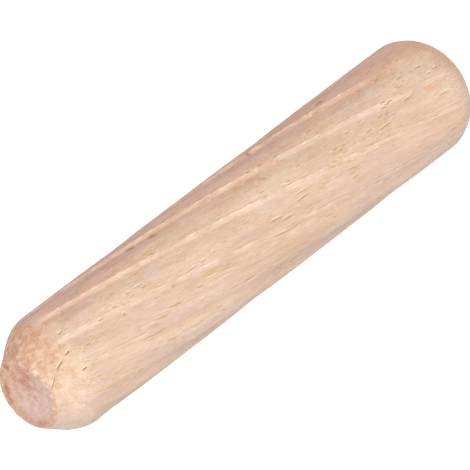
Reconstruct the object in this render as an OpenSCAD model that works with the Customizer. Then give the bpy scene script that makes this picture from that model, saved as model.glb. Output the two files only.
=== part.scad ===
// Fluted wooden dowel pin, millimetres.
// It stands on its lower end: Z runs along the pin and the origin is the middle of the lower end face.

/* [Pin] */
// Diameter over the lands between the flutes
pin_d = 8; // [6:0.1:12]
// Overall length, end face to end face
pin_len = 40; // [20:1:80]

/* [Upper end] */
// Diameter of the end face, to where its rim would be if sharp
top_face_d = 4.7; // [3:0.1:5.2]
// Length of the lead-in taper
top_taper_len = 2.3; // [1.8:0.1:5]
// Rounding of the rim between the end face and the taper
top_rim_r = 0.2; // [0.05:0.05:0.5]
// Rounding of the shoulder between the taper and the shank
top_shoulder_r = 2.9; // [0.5:0.1:3.2]

/* [Lower end] */
// Diameter of the end face, to where its rim would be if sharp
bottom_face_d = 5.1; // [3:0.1:5.2]
// Length of the lead-in taper
bottom_taper_len = 1.4; // [1.3:0.1:5]
// Rounding of the rim between the end face and the taper
bottom_rim_r = 1; // [0.05:0.05:1.2]
// Rounding of the shoulder between the taper and the shank
bottom_shoulder_r = 2.5; // [0.5:0.1:2.6]

/* [Flutes] */
// Number of flutes round the shank
flute_count = 11; // [5:1:14]
// Width of one flute, measured round the shank
flute_w = 1.35; // [0.6:0.05:1.6]
// Depth of a flute below the lands
flute_depth = 0.15; // [0.08:0.01:0.4]
// Width of the steep wall, which is part of the flute's width
flute_wall_w = 0.35; // [0.15:0.01:0.5]
// Length of pin in which a flute would go once round, right-handed
flute_lead = 150; // [80:5:600]

/* [Hidden] */

wood_tone = [0.89, 0.76, 0.65];
shank_r = pin_d / 2;
round_steps = 6;                        // facets along each rounded rim or shoulder
floor_steps = 4;                        // facets across a flute's gently sloping floor
turn_step = 4;                          // degrees of turn from one slice of a flute to the next
run_out = 1;                            // how far a flute's cutter passes each end face
proud = 0.05;                           // how far a flute's cutter stands above the lands
flute_twist = 360 * (pin_len + 2 * run_out) / flute_lead;

// Points of an arc of radius r that rounds the corner b on the way from a to c
function corner(a, b, c, r) =
    let (
        to_a = (a - b) / norm(a - b),
        to_c = (c - b) / norm(c - b),
        half_turn = 90 - acos(to_a * to_c) / 2,
        centre = b + (to_a + to_c) / norm(to_a + to_c) * r / cos(half_turn),
        side = sign(to_a[0] * to_c[1] - to_a[1] * to_c[0]),
        start = b + to_a * r * tan(half_turn) - centre
    )
    [for (i = [0 : round_steps])
        let (turn = -side * 2 * half_turn * i / round_steps)
        centre + [
            start[0] * cos(turn) - start[1] * sin(turn),
            start[0] * sin(turn) + start[1] * cos(turn)
        ]
    ];

// Half outline of one end, from its face on the axis out to the shank, with the face at height 0
function end_outline(face_d, taper_len, rim_r, shoulder_r) =
    let (
        axis = [0, 0],
        rim = [face_d / 2, 0],
        shoulder = [shank_r, taper_len],
        shank = [shank_r, pin_len / 2]
    )
    concat([axis], corner(axis, rim, shoulder, rim_r), corner(rim, shoulder, shank, shoulder_r));

// The same points from the shank back to the axis, turned over to the pin's upper end
function turned_over(outline) =
    [for (i = [len(outline) - 1 : -1 : 0]) [outline[i][0], pin_len - outline[i][1]]];

// A point round the shank at arc length s from the X axis and height h above the lands
function on_shank(s, h) =
    let (turn = s / shank_r * 180 / PI)
    (shank_r + h) * [cos(turn), sin(turn)];

// Section of one flute's cutter: a floor that falls away gently, the steep wall, and a crest clear of the pin
function flute_section() =
    let (
        floor_w = flute_w - flute_wall_w,
        floor_slope = flute_depth * PI / 2 / floor_w,
        wall_slope = flute_depth / flute_wall_w
    )
    concat(
        [on_shank(-proud / floor_slope, proud)],
        [for (i = [1 : floor_steps])
            on_shank(floor_w * i / floor_steps, -flute_depth * sin(90 * i / floor_steps))],
        [on_shank(flute_w + proud / wall_slope, proud)],
        [on_shank(flute_w / 2, flute_w / 2)]
    );

// The turned blank: shank with a tapered lead-in at each end
module blank() {
    rotate_extrude($fn = 96)
        polygon(concat(
            end_outline(bottom_face_d, bottom_taper_len, bottom_rim_r, bottom_shoulder_r),
            turned_over(end_outline(top_face_d, top_taper_len, top_rim_r, top_shoulder_r))
        ));
}

// What one flute takes away, from below the lower face to above the upper one
module flute_cut() {
    translate([0, 0, -run_out])
        linear_extrude(
            height = pin_len + 2 * run_out,
            twist = -flute_twist,
            slices = ceil(flute_twist / turn_step)
        )
            polygon(flute_section());
}

module dowel_pin() {
    color(wood_tone)
        difference() {
            blank();
            for (i = [0 : flute_count - 1])
                rotate([0, 0, i * 360 / flute_count])
                    flute_cut();
        }
}

dowel_pin();
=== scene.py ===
"""A fluted hardwood dowel pin, standing on its lower end."""
import math

import bpy
from mathutils import Matrix, Vector


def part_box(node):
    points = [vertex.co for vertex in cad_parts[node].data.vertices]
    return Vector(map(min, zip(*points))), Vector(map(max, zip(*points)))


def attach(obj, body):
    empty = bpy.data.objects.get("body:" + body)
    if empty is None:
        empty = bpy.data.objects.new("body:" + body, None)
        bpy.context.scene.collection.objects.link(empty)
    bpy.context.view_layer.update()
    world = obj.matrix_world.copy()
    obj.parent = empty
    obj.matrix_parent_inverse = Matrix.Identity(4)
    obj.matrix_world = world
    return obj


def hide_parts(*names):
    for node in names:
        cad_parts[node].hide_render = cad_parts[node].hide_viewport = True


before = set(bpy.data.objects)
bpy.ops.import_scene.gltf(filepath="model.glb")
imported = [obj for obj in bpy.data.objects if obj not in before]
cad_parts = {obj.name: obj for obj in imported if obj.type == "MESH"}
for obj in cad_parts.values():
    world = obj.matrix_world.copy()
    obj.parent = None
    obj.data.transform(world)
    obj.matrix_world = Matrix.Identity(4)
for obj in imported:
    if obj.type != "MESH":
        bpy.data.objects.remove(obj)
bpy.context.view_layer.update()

# ------------------------------------------------------------------------------------------
# The dowel pin: one piece of raw rubberwood, a pale hardwood. Its rod is moulded by cutters and
# sawn to length, a taper is turned on each end to lead it into its hole, and rollers press
# eleven flutes into it, for glue and air to get out. It is neither sanded nor sealed.
# ------------------------------------------------------------------------------------------

# the blank: its skin is laid out in columns that the flutes will run along
MM = 0.001
pin_low, pin_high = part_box("dowel_pin")
pin_length = pin_high.z - pin_low.z
shank_radius = 4 * MM
flutes = 11
columns_per_flute = 32
columns = flutes * columns_per_flute

# each end: the radius of its face, how far its taper reaches down the pin, and how far the
# rounding of the rim and of the shoulder reaches from each corner
top_end = {"face": 2.35 * MM, "taper": 2.3 * MM, "rim": 0.10 * MM, "shoulder": 0.93 * MM}
low_end = {"face": 2.55 * MM, "taper": 1.4 * MM, "rim": 0.40 * MM, "shoulder": 1.06 * MM}


def pick(piece, wanted):
    """Selects, in edit mode, just those points of the piece whose place is wanted."""
    bpy.ops.object.mode_set(mode="OBJECT")
    for parts in (piece.data.vertices, piece.data.edges, piece.data.polygons):
        parts.foreach_set("select", [False] * len(parts))
    chosen = [bool(wanted(point.co)) for point in piece.data.vertices]
    piece.data.vertices.foreach_set("select", chosen)
    bpy.ops.object.mode_set(mode="EDIT")
    bpy.ops.mesh.select_mode(type="VERT")


# the turner's outline: one point, drawn out corner by corner from the lower face to the upper one
bpy.ops.object.select_all(action="DESELECT")
bpy.ops.mesh.primitive_plane_add(size=MM)
pin = bpy.context.object
pin.name = "fluted_pin"
face_edge = [low_end["face"] - 0.6 * MM, top_end["face"] - 0.2 * MM]
bpy.ops.object.mode_set(mode="EDIT")
bpy.ops.mesh.select_all(action="SELECT")
bpy.ops.mesh.merge(type="CENTER")
bpy.ops.transform.translate(value=(face_edge[0], 0, 0))
outline = [
    (face_edge[0], 0),
    (low_end["face"], 0),
    (shank_radius, low_end["taper"]),
    (shank_radius, pin_length / 2),
    (shank_radius, pin_length - top_end["taper"]),
    (top_end["face"], pin_length),
    (face_edge[1], pin_length),
]
for (x, z), (next_x, next_z) in zip(outline, outline[1:]):
    step = (next_x - x, 0, next_z - z)
    bpy.ops.mesh.extrude_vertices_move(TRANSFORM_OT_translate={"value": step})

# its corners are rounded
for (x, z), reach, facets in (
    (outline[1], low_end["rim"], 5),
    (outline[2], low_end["shoulder"], 8),
    (outline[4], top_end["shoulder"], 8),
    (outline[5], top_end["rim"], 2),
):
    pick(pin, lambda place: (place - Vector((x, 0, z))).length < 0.01 * MM)
    bpy.ops.mesh.bevel(offset=reach, offset_type="OFFSET", segments=facets, affect="VERTICES")

# and its long stretches are cut into rows
for low, high, rows in ((1.4, 20.01, 86), (19.99, 39, 86), (0.25, 0.7, 4), (38.4, 39.95, 12)):
    pick(pin, lambda place: False)
    bpy.ops.mesh.select_mode(type="EDGE")
    bpy.ops.object.mode_set(mode="OBJECT")
    longest = 0
    for edge in pin.data.edges:
        one, other = (pin.data.vertices[end].co for end in edge.vertices)
        if low * MM < min(one.z, other.z) and max(one.z, other.z) < high * MM and (one - other).length > longest:
            longest, stretch = (one - other).length, edge
    stretch.select = True
    bpy.ops.object.mode_set(mode="EDIT")
    bpy.ops.mesh.subdivide(number_cuts=rows - 1)
bpy.ops.object.mode_set(mode="OBJECT")

# the outline goes once round, and a grid of quads closes each face
bpy.ops.object.modifier_add(type="SCREW")
turning = pin.modifiers[-1]
turning.steps = turning.render_steps = columns
turning.use_merge_vertices = True
turning.merge_threshold = 0.001 * MM
bpy.ops.object.modifier_apply(modifier=turning.name)
for level, edge in zip((0, pin_length), face_edge):
    pick(pin, lambda place: abs(place.z - level) < 0.001 * MM and place.xy.length < edge + 0.01 * MM)
    bpy.ops.mesh.fill_grid(span=columns // 4)
bpy.ops.mesh.select_all(action="SELECT")
bpy.ops.mesh.normals_make_consistent(inside=False)
bpy.ops.object.mode_set(mode="OBJECT")

# the flutes: each has a floor that falls away gently and one steep wall, and the rollers have
# the same outline all the way up
flute_width, wall_width, flute_depth = 1.35 * MM, 0.35 * MM, 0.15 * MM
flute_lead = 150 * MM
pitch = 2 * math.pi / flutes

bpy.ops.object.select_all(action="DESELECT")
bpy.ops.mesh.primitive_circle_add(vertices=columns, radius=shank_radius, location=(0, 0, -MM))
rollers = bpy.context.object
bpy.ops.object.transform_apply(location=True)
for column in range(1, columns_per_flute):
    across = column / columns_per_flute * pitch * shank_radius
    if across >= flute_width:
        break
    if across < flute_width - wall_width:
        depth = flute_depth * math.sin(math.pi / 2 * across / (flute_width - wall_width))
    else:
        depth = flute_depth * (flute_width - across) / wall_width
    turned_by = column / columns_per_flute
    pick(rollers, lambda place: abs((math.atan2(place.y, place.x) / pitch - turned_by + 0.5) % 1 - 0.5) < 0.01)
    shrunk = 1 - depth / shank_radius
    bpy.ops.transform.resize(value=(shrunk, shrunk, 1), center_override=(0, 0, 0))
bpy.ops.mesh.select_all(action="SELECT")
bpy.ops.mesh.extrude_region_move(TRANSFORM_OT_translate={"value": (0, 0, pin_length + 2 * MM)})
bpy.ops.mesh.select_all(action="SELECT")
bpy.ops.mesh.normals_make_consistent(inside=False)
bpy.ops.object.mode_set(mode="OBJECT")

bpy.ops.object.select_all(action="DESELECT")
pin.select_set(True)
bpy.context.view_layer.objects.active = pin

# the pin is not alike all round: towards points out of the side that faces the camera, and
# aside points square to that. The rollers bit less at the lower end, and least on both sides.
view_azimuth = math.radians(15.3)
towards = Vector((math.sin(view_azimuth), -math.cos(view_azimuth), 0))
aside = Vector((-math.cos(view_azimuth), -math.sin(view_azimuth), 0))
pressed = pin.vertex_groups.new(name="pressed")
for point in pin.data.vertices:
    near_low_end = min(max((10 * MM - point.co.z) / (7 * MM), 0), 1)
    less = 0.25 + 0.55 * abs(point.co.dot(aside)) / shank_radius
    pressed.add([point.index], 1 - near_low_end * less, "REPLACE")
bpy.ops.object.modifier_add(type="SHRINKWRAP")
pressing = pin.modifiers[-1]
pressing.target = rollers
pressing.wrap_method = "NEAREST_SURFACEPOINT"
pressing.wrap_mode = "INSIDE"
pressing.vertex_group = pressed.name
bpy.ops.object.modifier_apply(modifier=pressing.name)
bpy.data.objects.remove(rollers)
pin.vertex_groups.clear()

# and the whole rod is wound slowly to the right, as the rollers leave it
bpy.ops.object.modifier_add(type="SIMPLE_DEFORM")
winding = pin.modifiers[-1]
winding.deform_method = "TWIST"
winding.deform_axis = "Z"
winding.angle = 2 * math.pi * pin_length / flute_lead
bpy.ops.object.modifier_apply(modifier=winding.name)
bpy.ops.object.rotation_clear()
pin.rotation_euler.z = 2 * math.pi * MM / flute_lead
bpy.ops.object.transform_apply(rotation=True)

# the wood's own relief: the fibres run nearly along the pin but leave its axis a little, and
# handling has worn the sharpest edges off
fibre = (Vector((0, 0, 1)) - 0.14 * aside + 0.09 * towards).normalized()
grain = fibre.to_track_quat("Z", "Y").to_euler()

bpy.ops.object.modifier_add(type="SMOOTH")
wear = pin.modifiers[-1]
wear.factor, wear.iterations = 0.5, 2
bpy.ops.object.modifier_apply(modifier=wear.name)

# the upper taper was not cut quite true: it is pushed in or out here and there, and its rim
# is torn down on the side where the splits are
pick(pin, lambda place: place.z > pin_length - 0.05 * MM and place.xy.length < 2.3 * MM)
bpy.ops.transform.translate(
    value=aside * 0.09 * MM, use_proportional_edit=True,
    proportional_edit_falloff="SMOOTH", proportional_size=2.6 * MM)
bpy.ops.object.mode_set(mode="OBJECT")
for angle, from_axis, level, outward, upward, reach in (
    (-119, 3.60, 38.25, -0.09, -0.07, 1.8),
    (-52, 2.40, 39.95, 0.22, -0.14, 1.3),
    (12, 2.40, 39.95, 0.12, -0.08, 1.3),
):
    out = towards * math.cos(math.radians(angle)) + aside * math.sin(math.radians(angle))
    middle = (out * from_axis + Vector((0, 0, level))) * MM
    pick(pin, lambda place: (place - middle).length < 0.4 * MM)
    bpy.ops.transform.translate(
        value=(out * outward + Vector((0, 0, upward))) * MM, use_proportional_edit=True,
        proportional_edit_falloff="SMOOTH", proportional_size=reach * MM)
    bpy.ops.object.mode_set(mode="OBJECT")

# where the fibres are cut across: both tapers, the middle of the upper face, and its rim
for name, middle, weigh in (
    ("cut_ends", 0, lambda z, r: max(min((z - 37.0) / 1.2, 1), min((1.6 - z) / 1.0, z / 0.4, 1), 0)),
    ("dished", 0.4, lambda z, r: max(1 - (r / 1.9) ** 2, 0) if z > 39.9 else 0),
    ("rim", 0, lambda z, r: max(1 - abs(r - 2.33) / 0.25, 0) if z > 39.7 else 0),
):
    group = pin.vertex_groups.new(name=name)
    for point in pin.data.vertices:
        place = point.co / MM - towards * middle
        if weigh(place.z, place.xy.length) > 0:
            group.add([point.index], weigh(place.z, place.xy.length), "REPLACE")

# the rod is uneven from the cutters and its fibres stand up a little, and where they are cut
# across they are torn: how far each goes across and along the fibres, and its depth, in mm
for name, across, along, deep, middle, where in (
    ("uneven", 1.1, 6.0, 0.03, 0.5, ""),
    ("fibres", 0.17, 2.4, 0.012, 0.5, ""),
    ("torn", 0.28, 0.34, 0.07, 0.5, "cut_ends"),
    ("dish", 9, 9, -0.16, 0, "dished"),
    ("burr", 0.25, 0.25, 0.10, 0.45, "rim"),
):
    bpy.ops.object.select_all(action="DESELECT")
    bpy.ops.object.empty_add(rotation=grain)
    guide = bpy.context.object
    guide.scale = (across * MM, across * MM, along * MM)
    bpy.context.view_layer.update()
    cloud = bpy.data.textures.new(name, "CLOUDS")
    cloud.noise_scale = 1
    cloud.noise_basis = "IMPROVED_PERLIN"
    cloud.noise_depth = 1
    pin.select_set(True)
    bpy.context.view_layer.objects.active = pin
    bpy.ops.object.modifier_add(type="DISPLACE")
    relief = pin.modifiers[-1]
    relief.texture = cloud
    relief.texture_coords = "OBJECT"
    relief.texture_coords_object = guide
    relief.vertex_group = where
    relief.mid_level = middle
    relief.strength = deep * MM
    bpy.ops.object.modifier_apply(modifier=relief.name)
    bpy.data.objects.remove(guide)
pin.vertex_groups.clear()

# splits where the cutters lifted the fibres, and the largest of the open vessels: each runs
# from one point to the next, is half as wide as its last number and goes straight in, in mm
cuts = {"split": [], "split's lip": [], "vessel": [], "vessel's lip": []}
for kind, low, high, wide in (
    ("split", (1.184, -3.156, 38.518), (0.893, -2.916, 38.974), 0.055),
    ("split", (0.549, -2.726, 39.33), (0.020, -2.385, 39.75), 0.03),
    ("split", (1.52, -3.40, 37.85), (1.42, -3.33, 38.15), 0.05),
    ("split", (2.70, -2.89, 37.25), (2.66, -2.90, 37.60), 0.045),
    ("split", (0.11, -3.80, 37.55), (0.07, -3.76, 37.90), 0.05),
    ("vessel", (1.30, -3.64, 32.95), (1.30, -3.64, 33.10), 0.07),
    ("vessel", (2.15, -3.37, 31.61), (2.20, -3.34, 31.92), 0.05),
    ("vessel", (2.13, -3.38, 30.58), (2.18, -3.35, 31.28), 0.04),
    ("vessel", (-2.27, -3.25, 27.69), (-2.16, -3.33, 28.64), 0.045),
    ("vessel", (-0.21, -3.94, 26.85), (-0.13, -3.94, 27.37), 0.035),
    ("vessel", (1.00, -3.87, 26.51), (1.07, -3.85, 27.39), 0.04),
    ("vessel", (0.99, -3.88, 25.72), (1.00, -3.87, 26.06), 0.05),
    ("vessel", (1.05, -3.86, 24.76), (1.05, -3.86, 24.92), 0.07),
    ("vessel", (0.24, -3.99, 19.08), (0.34, -3.98, 19.87), 0.05),
    ("vessel", (-0.13, -4.00, 18.18), (-0.04, -4.00, 19.09), 0.045),
    ("vessel", (-0.86, -3.76, 18.78), (-0.61, -3.82, 20.10), 0.05),
    ("vessel", (-0.89, -3.78, 17.84), (-0.85, -3.77, 18.68), 0.04),
    ("vessel", (0.66, -3.81, 16.19), (0.74, -3.81, 17.10), 0.04),
    ("vessel", (0.35, -3.91, 16.31), (0.39, -3.94, 17.28), 0.04),
    ("vessel", (-0.16, -3.89, 11.85), (0.02, -3.89, 12.80), 0.03),
    ("vessel", (-2.03, -3.30, 10.27), (-1.98, -3.32, 10.75), 0.06),
    ("vessel", (1.86, -3.40, 10.85), (1.91, -3.38, 11.18), 0.04),
    ("vessel", (0.54, -3.96, 8.95), (0.54, -3.96, 9.08), 0.06),
    ("vessel", (0.790, -3.905, 7.85), (0.813, -3.901, 8.80), 0.045),
    ("vessel", (1.30, -3.67, 5.27), (1.32, -3.66, 5.95), 0.04),
    ("vessel", (-0.94, -3.83, 4.14), (-0.82, -3.85, 4.87), 0.04),
    ("vessel", (2.39, -3.17, 3.13), (2.41, -3.16, 3.41), 0.05),
    ("vessel", (1.75, -3.60, 2.90), (1.80, -3.57, 3.24), 0.04),
    ("vessel", (1.78, -3.58, 2.34), (1.78, -3.58, 2.50), 0.07),
):
    low, high = Vector(low), Vector(high)
    along = (high - low).normalized()
    outward = Vector((low.x, low.y, 0)).normalized()
    across = outward.cross(along).normalized()
    turn = Matrix((across, along.cross(across), along)).transposed()
    middle, size = (low + high) / 2, (wide, 0.4, (high - low).length * 0.65)
    cuts[kind].append((middle, turn.to_euler(), size))
    # and a lip beside it on one side, whose paler colour is a painted highlight
    cuts[f"{kind}'s lip"].append((middle - across * 2.2 * wide, turn.to_euler(), size))
    into = (Matrix.Translation(middle) @ turn.to_4x4() @ Matrix.Diagonal((*size, 1))).inverted()
    pick(pin, lambda place: (into @ (place / MM)).length < 1)
    bpy.ops.transform.translate(value=outward * -0.05 * MM)
    bpy.ops.object.mode_set(mode="OBJECT")
bpy.ops.object.shade_smooth()


# the look: bare matt wood, pale peach with gently darker and lighter bands, and full of fine
# broken fibres. Its open vessels show as short brownish scratches, and where it is cut across
# they show as stipple.
def srgb(code):
    """A colour of a paint chart, such as #EACAB1, as Blender's linear numbers."""
    parts = [int(code[i:i + 2], 16) / 255 for i in (1, 3, 5)]
    return [part / 12.92 if part <= 0.04045 else ((part + 0.055) / 1.055) ** 2.4 for part in parts] + [1]


def add_node(tree, kind, inputs=(), **settings):
    """Adds a node; inputs gives each socket a value, or the socket that feeds it."""
    node = tree.nodes.new(kind)
    for name, value in settings.items():
        setattr(node, name, value)
    for name, value in dict(inputs).items():
        if isinstance(value, bpy.types.NodeSocket):
            tree.links.new(value, node.inputs[name])
        else:
            node.inputs[name].default_value = value
    return node


wood = bpy.data.materials.new("raw_rubberwood")
wood.use_nodes = True
tree = wood.node_tree
shader = tree.nodes["Principled BSDF"]
shader.inputs["IOR"].default_value = 1.5
shader.inputs["Roughness"].default_value = 0.65
shader.inputs["Specular IOR Level"].default_value = 0.25

# where a point is: in millimetres, and in millimetres across and along the fibres, which
# wander a little on their way
place = add_node(tree, "ShaderNodeTexCoord").outputs["Object"]
place = add_node(
    tree, "ShaderNodeMapping", {"Vector": place, "Scale": (MM, MM, MM)}, vector_type="TEXTURE").outputs[0]
in_grain = add_node(
    tree, "ShaderNodeMapping", {"Vector": place, "Rotation": grain}, vector_type="TEXTURE").outputs[0]
wander = add_node(
    tree, "ShaderNodeMapping", {"Vector": in_grain, "Scale": (2.5, 2.5, 12)}, vector_type="TEXTURE")
wander = add_node(
    tree, "ShaderNodeTexNoise", {"Vector": wander.outputs[0], "Scale": 1, "Detail": 3, "Roughness": 0.55})
wander = add_node(tree, "ShaderNodeMapping", {
    "Vector": wander.outputs["Color"], "Location": (-0.2, -0.2, 0), "Scale": (0.4, 0.4, 0)})
in_grain = add_node(
    tree, "ShaderNodeVectorMath", {0: in_grain, 1: wander.outputs[0]}, operation="ADD").outputs[0]

# noise drawn out along the fibres: each pattern's width and length in millimetres. A single
# fibre is 0.02 mm across, too fine to show, so the hairs are three of them side by side.
patterns = {}
for name, across, along, detail, roughness in (
    ("bands", 1.6, 20, 2, 0.5),
    ("streaks", 0.50, 6, 2, 0.5),
    ("fibres", 0.16, 1.8, 2, 0.6),
    ("hairs", 0.06, 0.55, 1, 0.5),
    ("hue", 0.9, 6, 2, 0.5),
    ("breaks", 0.6, 1.6, 2, 0.6),
    ("dashes", 0.09, 0.8, 1, 0.5),
    ("grains", 0.17, 0.2, 1, 0.5),
    ("mottle", 0.24, 0.26, 2, 0.5),
    ("dapple", 0.42, 0.6, 1, 0.5),
    ("blotch", 0.8, 0.9, 2, 0.55),
    ("open", 0.7, 3.2, 1, 0.5),
):
    spread = add_node(tree, "ShaderNodeMapping", {
        "Vector": in_grain, "Location": (len(name), 0, 10 * across), "Scale": (across, across, along),
    }, vector_type="TEXTURE")
    noise = add_node(tree, "ShaderNodeTexNoise", {
        "Vector": spread.outputs[0], "Scale": 1, "Detail": detail, "Roughness": roughness})
    patterns[name] = noise.outputs[0]

# where on the pin: height, distance from the axis, side (-1 to 1), and way across a flute
x, y, height = add_node(tree, "ShaderNodeSeparateXYZ", {0: place}).outputs
flat = add_node(
    tree, "ShaderNodeVectorMath", {0: place, 1: (1, 1, 0)}, operation="MULTIPLY").outputs[0]
radius = add_node(tree, "ShaderNodeVectorMath", {0: flat}, operation="LENGTH").outputs["Value"]
side = add_node(tree, "ShaderNodeVectorMath", {
    0: place, 1: aside * MM / shank_radius}, operation="DOT_PRODUCT").outputs["Value"]
angle = add_node(tree, "ShaderNodeMath", {0: y, 1: x}, operation="ARCTAN2").outputs[0]
turned = add_node(tree, "ShaderNodeMath", {0: height, 1: 1.0}, operation="ADD").outputs[0]
turned = add_node(tree, "ShaderNodeMath", {
    0: turned, 1: -2 * math.pi * MM / flute_lead, 2: angle}, operation="MULTIPLY_ADD").outputs[0]
turned = add_node(tree, "ShaderNodeMath", {0: turned, 1: pitch}, operation="DIVIDE").outputs[0]
across_flute = add_node(tree, "ShaderNodeMath", {0: turned}, operation="FRACT").outputs[0]

# the same, with a ragged edge a few tenths of a millimetre deep
ragged_height = add_node(tree, "ShaderNodeMath", {
    0: patterns["blotch"], 1: 1.6, 2: height}, operation="MULTIPLY_ADD").outputs[0]
ragged_radius = add_node(tree, "ShaderNodeMath", {
    0: patterns["mottle"], 1: 0.7, 2: radius}, operation="MULTIPLY_ADD").outputs[0]
ragged_side = add_node(tree, "ShaderNodeMath", {
    0: patterns["blotch"], 1: 1.0, 2: side}, operation="MULTIPLY_ADD").outputs[0]
from_middle = add_node(tree, "ShaderNodeMath", {0: ragged_height, 1: -20.8}, operation="ADD").outputs[0]
from_middle = add_node(tree, "ShaderNodeMath", {0: from_middle}, operation="ABSOLUTE").outputs[0]
pressed_here = add_node(tree, "ShaderNodeMath", {
    0: ragged_side, 1: 6.0, 2: height}, operation="MULTIPLY_ADD").outputs[0]
off_middle = add_node(
    tree, "ShaderNodeVectorMath", {0: flat, 1: 0.5 * towards}, operation="DISTANCE").outputs["Value"]
ragged_dish = add_node(tree, "ShaderNodeMath", {
    0: patterns["dapple"], 1: 2.2, 2: off_middle}, operation="MULTIPLY_ADD").outputs[0]

# open vessels: tubes along the fibres, a third of a millimetre apart, that the surface cuts
# open; each groove has a lifted lip along one side, and the lip's paler colour is a painted highlight
vessel_gap = 0.31
apart = add_node(tree, "ShaderNodeMapping", {
    "Vector": in_grain, "Scale": (vessel_gap,) * 3}, vector_type="TEXTURE").outputs[0]
tubes = add_node(tree, "ShaderNodeTexVoronoi", {"Vector": apart, "Scale": 1}, voronoi_dimensions="2D")
# a painted highlight: the tubes again, moved a little across the fibres, to pale one edge of each groove
lip = add_node(tree, "ShaderNodeVectorMath", {0: apart, 1: (-0.13, -0.1, 0)}, operation="ADD").outputs[0]
lips = add_node(tree, "ShaderNodeTexVoronoi", {"Vector": lip, "Scale": 1}, voronoi_dimensions="2D")
bore = add_node(
    tree, "ShaderNodeMapRange", {0: patterns["open"], 1: 0.42, 2: 0.70, 3: 0.0, 4: 0.15}).outputs[0]
inside = add_node(
    tree, "ShaderNodeMath", {0: bore, 1: tubes.outputs["Distance"]}, operation="SUBTRACT").outputs[0]
painted_highlight_lip = add_node(
    tree, "ShaderNodeMath", {0: bore, 1: lips.outputs["Distance"]}, operation="SUBTRACT").outputs[0]

# single marks, each a middle, a turn and half lengths: how far away the nearest one is, in
# those half lengths and up to three of them, with an uneven edge
straight = (0, 0, 0)
marks = {}
for name, uneven, places in (
    ("split", 0.0, cuts["split"]),
    ("split's lip", 0.0, cuts["split's lip"]),
    ("large vessel", 0.8, cuts["vessel"]),
    ("large vessel's lip", 0.8, cuts["vessel's lip"]),
    ("yellow", 1.6, (
        ((1.15, -3.83, 12.43), straight, (0.25, 0.3, 0.45)),
        ((0.05, -3.87, 26.03), straight, (0.22, 0.3, 0.35)),
        ((3.21, -2.38, 28.57), straight, (0.22, 0.3, 0.30)),
        ((-0.23, -3.90, 12.12), straight, (0.22, 0.3, 0.40)),
        ((0.20, -3.91, 15.04), straight, (0.22, 0.3, 0.45)),
        ((1.00, -3.85, 8.20), straight, (0.16, 0.3, 0.45)))),
    ("pale", 2.2, (
        ((-1.11, -3.71, 18.72), grain, (0.20, 0.3, 0.45)),
        ((-1.25, -3.65, 17.20), grain, (0.20, 0.3, 0.45)),
        ((0.52, -3.83, 26.82), grain, (0.18, 0.3, 0.45)),
        ((0.53, -3.93, 25.36), grain, (0.20, 0.3, 0.55)),
        ((2.59, -2.87, 16.09), grain, (0.18, 0.3, 0.60)),
        ((2.29, -3.10, 12.03), grain, (0.18, 0.3, 0.60)),
        ((3.18, -2.37, 23.72), grain, (0.20, 0.3, 0.40)),
        ((-2.38, -3.11, 25.35), grain, (0.20, 0.3, 0.45)))),
    ("brown", 1.6, (
        ((3.61, -1.39, 26.75), straight, (0.20, 0.24, 0.26)),
        ((3.73, -0.98, 28.49), straight, (0.20, 0.20, 0.26)),
        ((3.89, -0.45, 16.57), straight, (0.20, 0.20, 0.13)),
        ((3.88, -0.96, 10.10), straight, (0.20, 0.16, 0.35)))),
    ("orange", 1.6, (
        ((1.00, -3.71, 3.69), straight, (0.22, 0.3, 0.35)),)),
    ("red", 1.6, (
        ((0.95, -0.48, 40), straight, (0.85, 0.85, 1)),)),
    ("stain", 2.2, (
        ((2.10, 0.42, 39.9), straight, (0.22, 0.30, 0.3)),
        ((0.65, 1.52, 40), straight, (0.42, 0.26, 0.3)),
        ((-0.05, 1.82, 40), straight, (0.42, 0.24, 0.3)),
        ((-2.15, -0.05, 39.9), straight, (0.26, 0.42, 0.3)))),
):
    closest = 0.0
    for middle, turn, size in places:
        nearby = add_node(tree, "ShaderNodeMapping", {
            "Vector": place, "Location": middle, "Rotation": turn, "Scale": 3 * Vector(size),
        }, vector_type="TEXTURE")
        ball = add_node(
            tree, "ShaderNodeTexGradient", {"Vector": nearby.outputs[0]}, gradient_type="SPHERICAL")
        closest = add_node(
            tree, "ShaderNodeMath", {0: closest, 1: ball.outputs["Fac"]}, operation="MAXIMUM").outputs[0]
    away = add_node(
        tree, "ShaderNodeMath", {0: closest, 1: -3.0, 2: 3.0}, operation="MULTIPLY_ADD").outputs[0]
    marks[name] = add_node(tree, "ShaderNodeMath", {
        0: patterns["mottle"], 1: uneven, 2: away}, operation="MULTIPLY_ADD").outputs[0]

# the wood's own lighter and darker tone
tone = 0.5
for name, weight in (
    ("bands", 0.40), ("streaks", 0.30), ("fibres", 0.30), ("hairs", 0.34), ("mottle", 0.12),
):
    shift = add_node(tree, "ShaderNodeMath", {
        0: patterns[name], 1: weight, 2: -0.5 * weight}, operation="MULTIPLY_ADD").outputs[0]
    tone = add_node(tree, "ShaderNodeMath", {0: shift, 1: tone}, operation="ADD").outputs[0]
ramp = add_node(tree, "ShaderNodeValToRGB", {"Fac": tone})
stops = [(0.0, "#AB8669"), (0.3, "#C9AA90"), (0.5, "#D8BCA5"), (0.7, "#E4CDBA"), (1.0, "#F7E6D7")]
while len(ramp.color_ramp.elements) < len(stops):
    ramp.color_ramp.elements.new(0.5)
for stop, (at, code) in zip(ramp.color_ramp.elements, stops):
    stop.position, stop.color = at, srgb(code)
colour = ramp.outputs[0]

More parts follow.
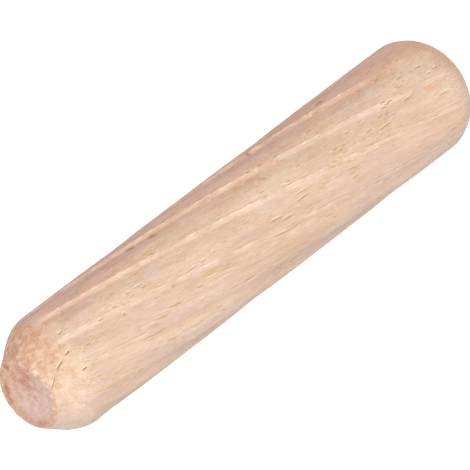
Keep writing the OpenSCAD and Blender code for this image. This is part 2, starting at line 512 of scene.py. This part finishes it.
# and what lies over it, layer by layer: how it is laid on, its colour, how strongly, and the
# steps that bound it, each rising from nothing at its first number to full at its second
upper = (ragged_height, 38.2, 39.3)
lower = (ragged_height, 2.4, 1.7)
upper_face = (height, 39.5, 39.7)
pressed_well = (pressed_here, 3, 9)
layers = {}
for name, blend, code, strength, steps in (
    # the wood as it grew, and then one side redder all along
    ("warmer", "MULTIPLY", "#FFFDF6", 0.8, ((patterns["hue"], 0.45, 0.70),)),
    ("cooler", "MULTIPLY", "#F8F9FF", 0.7, ((patterns["hue"], 0.55, 0.30),)),
    ("pinker between the vessels", "MULTIPLY", "#FFF6F6", 0.55, ((patterns["open"], 0.50, 0.32),)),
    ("yellower by the vessels", "MULTIPLY", "#FFFDF2", 0.6, ((patterns["open"], 0.5, 0.66),)),
    # redder all along the side opposite to aside
    ("redder side", "MULTIPLY", "#FCEBE8", 1.0, ((ragged_side, 0.20, -0.35),)),
    # the flutes: painted shade along their floors, paler walls that are partly polished by the rollers
    # and partly a painted highlight, a painted highlight along the crest of each wall, and a painted shadow just
    # past it
    # painted shade: darker along the deep floor of each flute, next to the foot of its wall
    ("flute's floor", "MULTIPLY", "#F4EAE2", 0.5, (
        (across_flute, 0.18, 0.40), (across_flute, 0.46, 0.42), (patterns["breaks"], 0.3, 0.6),
        pressed_well)),
    # partly polished wood and partly a painted highlight: paler along the steep wall of each flute
    ("flute's wall", "MIX", "#F1DCC9", 0.28, (
        (across_flute, 0.42, 0.49), (across_flute, 0.62, 0.57), (patterns["breaks"], 0.35, 0.62),
        pressed_well)),
    # painted highlight: a thin, broken pale line along the top of each wall
    ("wall's crest", "MIX", "#FFEEDB", 0.45, (
        (across_flute, 0.535, 0.56), (across_flute, 0.60, 0.58), (patterns["breaks"], 0.42, 0.58),
        (patterns["dashes"], 0.45, 0.60), pressed_well)),
    # painted shadow: darker on the land just past the top of each wall
    ("beyond the crest", "MULTIPLY", "#E3CBBA", 0.5, (
        (across_flute, 0.595, 0.61), (across_flute, 0.65, 0.625), (patterns["breaks"], 0.42, 0.58),
        pressed_well)),
    # fibres that catch the light or have lifted off
    ("pale fibres", "MIX", "#FFEEDC", 0.4, (
        (patterns["dashes"], 0.66, 0.74), (patterns["breaks"], 0.45, 0.6))),
    ("dark fibres", "MULTIPLY", "#DDBD9D", 0.7, (
        (patterns["dashes"], 0.36, 0.27), (patterns["open"], 0.40, 0.58))),
    # the tapers, cut across the fibres: each is oranger on the side opposite to aside, and the upper one is
    # paler on the side towards it
    ("upper taper", "MIX", "#DCBA9E", 0.5, (upper,)),
    ("upper taper, orange side", "MIX", "#D3A07A", 0.70, (upper, (ragged_side, 0.42, -0.26))),
    ("upper taper, cream side", "MIX", "#E0C6B2", 0.6, (upper, (ragged_side, 0.6, 1.1))),
    ("lower taper", "MIX", "#DDBCA3", 0.5, (lower,)),
    ("lower taper, orange side", "MIX", "#CFA17D", 0.4, ((height, 3.0, 1.0), (ragged_side, 0.75, 0.25))),
    # the sawn faces
    # partly the wood's own redder colour and partly painted shade: darker and redder just inside the rim, where
    # the face dips
    ("back of the rim", "MIX", "#CB9676", 0.6, ((height, 39.80, 39.92), (ragged_dish, 2.8, 3.3))),
    ("sawn face", "MIX", "#DEBBAD", 0.8, (upper_face, (ragged_dish, 3.15, 2.65))),
    ("sawn face, warm side", "MIX", "#DDAE90", 0.45, (upper_face, (ragged_side, 0.65, 0.25))),
    ("sawn face, red", "MIX", "#C9937D", 0.7, (upper_face, (marks["red"], 2.7, 1.2))),
    ("sawn foot", "MIX", "#D9B49E", 0.7, ((height, 0.3, 0.15), (ragged_radius, 2.90, 2.75))),
    ("paler blobs", "MIX", "#EFD3BC", 0.40, (upper, (patterns["dapple"], 0.50, 0.68))),
    ("browner blobs", "MULTIPLY", "#E4C0A3", 0.4, (
        upper, (patterns["dapple"], 0.55, 0.28), (ragged_side, 1.3, 0.5))),
    ("stipple, dark", "MULTIPLY", "#DDB898", 0.4, (
        (from_middle, 17.2, 18.4), (patterns["grains"], 0.42, 0.28), (patterns["open"], 0.3, 0.6))),
    ("stipple, light", "MIX", "#FBE6D3", 0.3, (
        (from_middle, 17.2, 18.4), (patterns["grains"], 0.58, 0.70), (patterns["open"], 0.7, 0.4))),
    # stains, patches and spots
    ("brown stain", "MIX", "#B9704C", 0.85, ((marks["stain"], 2.5, 1.0),)),
    ("orange spot", "MIX", "#E0A678", 0.6, ((marks["orange"], 2.4, 0.9),)),
    ("yellow patches", "MULTIPLY", "#FBF8EA", 0.9, ((marks["yellow"], 2.6, 1.2),)),
    ("pale patches", "MIX", "#E6D0C3", 0.55, ((marks["pale"], 2.9, 0.9), (patterns["streaks"], 0.30, 0.60))),
    ("brown spots", "MULTIPLY", "#E0CFC3", 1.0, ((marks["brown"], 2.4, 1.2),)),
    # the frayed rim, the vessels and the splits, with the lips they lift; the rim and each lip
    # also carry a painted highlight
    # partly pale torn fibres and partly a painted highlight: a ragged pale band round the rim, on the side
    # towards aside
    ("frayed rim", "MIX", "#FBE6D3", 0.65, (
        (height, 39.2, 39.5), (radius, 2.10, 2.25), (radius, 2.55, 2.40), (ragged_side, 0.0, 0.15),
        (ragged_side, 0.95, 0.75), (patterns["mottle"], 0.46, 0.58))),
    # painted highlights: the pale lip along one side of each vessel and each split
    ("vessel's lip", "MIX", "#FFEBD4", 0.42, ((painted_highlight_lip, 0.0, 0.05),)),
    ("vessel", "MIX", "#B58C66", 0.8, ((inside, 0.0, 0.06),)),
    ("large vessel's lip", "MIX", "#FFE9D2", 0.45, ((marks["large vessel's lip"], 1.8, 0.6),)),
    ("large vessel", "MIX", "#A9845F", 0.65, ((marks["large vessel"], 1.8, 0.6),)),
    ("split's lip", "MIX", "#FFEDDA", 0.6, ((marks["split's lip"], 1.2, 0.5),)),
    ("split", "MIX", "#A07C5C", 0.8, ((marks["split"], 1.2, 0.5),)),
):
    amount = strength
    for source, low, high in steps:
        step = add_node(
            tree, "ShaderNodeMapRange", {0: source, 1: low, 2: high}, interpolation_type="SMOOTHSTEP")
        amount = add_node(
            tree, "ShaderNodeMath", {0: step.outputs[0], 1: amount}, operation="MULTIPLY").outputs[0]
    layers[name] = amount
    laid = add_node(
        tree, "ShaderNodeMix", {0: amount, 6: colour, 7: srgb(code)}, data_type="RGBA", blend_type=blend)
    colour = laid.outputs[2]
tree.links.new(colour, shader.inputs["Base Color"])

# the finest relief, too fine for the mesh
relief = 0.0
for source, weight in (
    (patterns["fibres"], 0.35),
    (patterns["hairs"], 0.38),
    (patterns["dashes"], 0.30),
    (layers["stipple, light"], 0.6),
    (layers["stipple, dark"], -0.6),
    (layers["vessel's lip"], 0.7),
    (layers["vessel"], -0.7),
    (layers["large vessel"], -0.7),
    (layers["split"], -1.2),
):
    relief = add_node(
        tree, "ShaderNodeMath", {0: source, 1: weight, 2: relief}, operation="MULTIPLY_ADD").outputs[0]
bump = add_node(tree, "ShaderNodeBump", {"Height": relief, "Distance": 0.03 * MM, "Strength": 1.0})
tree.links.new(bump.outputs[0], shader.inputs["Normal"])
pin.data.materials.append(wood)

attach(pin, "root")
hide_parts("dowel_pin")

# ------------------------------------------------------------------------------------------
# The paper it stands on: a wide sheet of matt white paper, flat on the table. It glows a
# little, so that it comes out as white as the air behind it, and it throws no light back.
# ------------------------------------------------------------------------------------------
bpy.ops.object.select_all(action="DESELECT")
# it lies a little below the foot, whose fibres stand out by half as much
bpy.ops.mesh.primitive_circle_add(vertices=64, radius=3, fill_type="NGON", location=(0, 0, -0.02 * MM))
sheet = bpy.context.object
sheet.name = "white_paper_sheet"
paper = bpy.data.materials.new("matt_white_paper")
paper.use_nodes = True
paper_shader = paper.node_tree.nodes["Principled BSDF"]
paper_shader.inputs["Base Color"].default_value = srgb("#F2F2F2")
paper_shader.inputs["Roughness"].default_value = 0.9
paper_shader.inputs["Emission Color"].default_value = srgb("#FFFFFF")
paper_shader.inputs["Emission Strength"].default_value = 0.6
sheet.data.materials.append(paper)
sheet.visible_diffuse = False

# ------------------------------------------------------------------------------------------
# The light tent: white cloth all round, brightest in a band level with the pin, and six round
# soft boxes half a metre away. The front one is the strongest, and the two behind are bluish.
# ------------------------------------------------------------------------------------------
tent = bpy.data.worlds.new("light_tent")
bpy.context.scene.world = tent
tent.use_nodes = True
air = tent.node_tree
cloth = add_node(air, "ShaderNodeTexCoord").outputs["Generated"]
rise = add_node(air, "ShaderNodeSeparateXYZ", {0: cloth}).outputs["Z"]
rise = add_node(air, "ShaderNodeMath", {0: rise}, operation="ABSOLUTE").outputs[0]
glow = add_node(air, "ShaderNodeMapRange", {0: rise, 1: 0.03, 2: 0.08, 3: 1.0, 4: 0.52}).outputs[0]
air.links.new(glow, air.nodes["Background"].inputs["Strength"])
air.nodes["Background"].inputs["Color"].default_value = srgb("#F8FAFF")

up = Vector((0, 0, 1))
for name, direction, watts, code in (
    ("front_box", towards * 0.9 + up * 0.3, 1.85, "#FFFBF6"),
    ("top_box", towards * 0.2 + up, 0.42, "#FFFBF6"),
    ("side_box", towards * 0.3 + aside * 0.9 + up * 0.3, 0.34, "#FFF0EE"),
    ("back_box", towards * -0.9 + up * 0.3, 0.90, "#F4F7FF"),
    ("left_rim_box", towards * -0.5 - aside * 0.9 + up * 0.1, 0.38, "#A0BAFF"),
    ("right_rim_box", towards * -0.5 + aside * 0.9 + up * 0.1, 0.38, "#A0BAFF"),
):
    lamp_data = bpy.data.lights.new(name, "AREA")
    lamp_data.shape, lamp_data.size, lamp_data.energy = "DISK", 0.35, watts
    lamp_data.color = srgb(code)[:3]
    lamp = bpy.data.objects.new(name, lamp_data)
    bpy.context.scene.collection.objects.link(lamp)
    lamp.visible_camera = False
    direction.normalize()
    facing = direction.to_track_quat("Z", "Y").to_matrix().to_4x4()
    lamp.matrix_world = Matrix.Translation(direction * 0.5 + up * 0.02) @ facing

# ------------------------------------------------------------------------------------------
# The camera: a long lens 0.6 m away, looking down on the pin from its sawn end, and leant over
# so that the pin lies across the frame from the lower left to the upper right.
# ------------------------------------------------------------------------------------------
distance, focal_pixels, image_side = 0.6, 9425, 470
tilt, lean = math.radians(34.3), math.radians(37.31)
back = towards * math.cos(tilt) + up * math.sin(tilt)
camera_data = bpy.data.cameras.new("camera")
camera_data.sensor_width = 36
camera_data.lens = 36 * focal_pixels / image_side
camera_data.clip_start, camera_data.clip_end = 0.01, 10
camera = bpy.data.objects.new("camera", camera_data)
bpy.context.scene.collection.objects.link(camera)
turn = back.to_track_quat("Z", "Y").to_matrix().to_4x4() @ Matrix.Rotation(-math.pi / 2 - lean, 4, "Z")
off_centre = turn.to_3x3() @ Vector((-1.4, -0.4, 0)) * distance / focal_pixels
camera.matrix_world = Matrix.Translation(up * pin_length / 2 + back * distance + off_centre) @ turn
bpy.context.scene.camera = camera
bpy.context.scene.view_settings.view_transform = "Standard"
